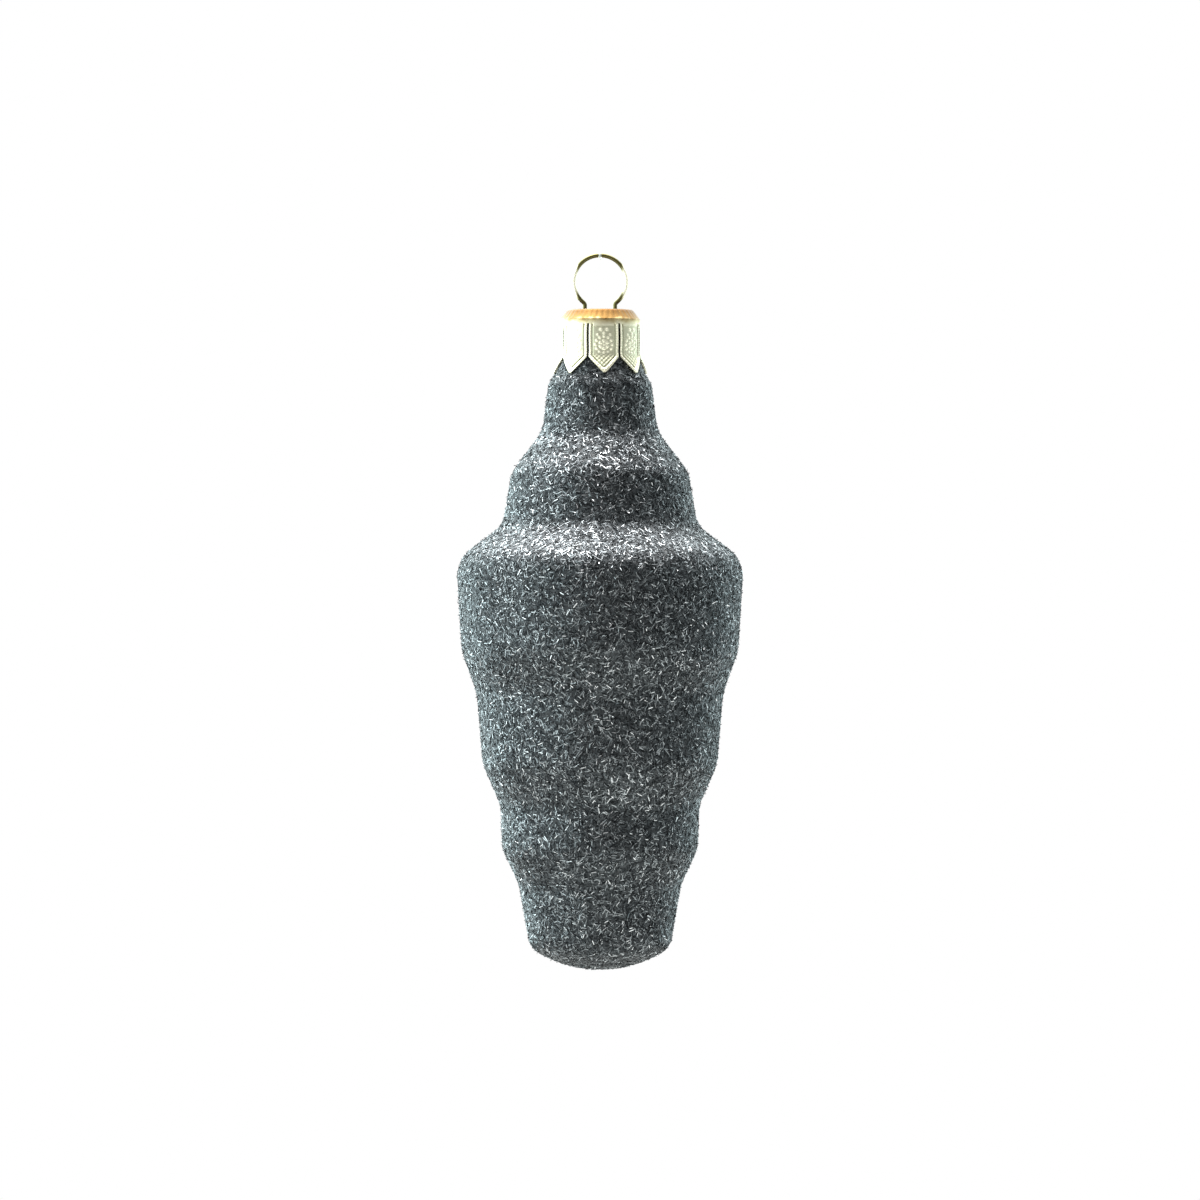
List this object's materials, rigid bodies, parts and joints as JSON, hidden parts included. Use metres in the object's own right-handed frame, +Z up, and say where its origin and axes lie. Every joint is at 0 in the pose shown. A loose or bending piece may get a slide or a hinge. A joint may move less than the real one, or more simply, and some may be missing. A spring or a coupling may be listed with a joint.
{
  "type": "hanging glass ornament",
  "caption": "Tiered blown-glass hanging ornament with a glitter-fibre coat, petalled crown cap, sprung wire ring and a doubled clear hanging thread.",
  "frame": {"origin": "the top inside of the thread's eye, where it lies on the hook that holds the ornament", "axes": "+Z up along the thread and the body's axis, with the hanger's ring in the XZ plane and its front towards -Y"},
  "size_m": [0.0402, 0.0402, 0.146],
  "materials": {
    "nylon_thread": "clear nylon monofilament",
    "brass_wire": "bright drawn wire",
    "gilt_cap": "stamped and embossed gilt sheet",
    "blown_glass": "clear blown glass, fire polished",
    "glitter_coat": "dark grey lacquer with silver fibre glitter"
  },
  "bodies": {
    "eye": {"hanging_eye": "nylon_thread"},
    "thread": {"thread_knot": "nylon_thread", "hanging_thread": "nylon_thread"},
    "hanger": {"wire_hanger": "brass_wire"},
    "cap": {"crown_cap": "gilt_cap"},
    "body": {"glass_body": "blown_glass", "glitter_coat": "glitter_coat"}
  },
  "joints": [
    {"name": "thread_twirl", "type": "hinge", "parent": "eye", "child": "thread", "pos_m": [0, 0, -0.00605], "axis": [0, 0, 1], "continuous": true},
    {"name": "ring_swing", "type": "hinge", "parent": "thread", "child": "hanger", "pos_m": [0, 0, -0.0447], "axis": [1, 0, 0], "range_deg": [-80, 80]},
    {"name": "hanger_pull", "type": "slide", "parent": "hanger", "child": "cap", "axis": [0, 0, -1], "range_m": [0, 0.006]},
    {"name": "glass_pull", "type": "slide", "parent": "cap", "child": "body", "axis": [0, 0, -1], "range_m": [0, 0.024]}
  ]
}
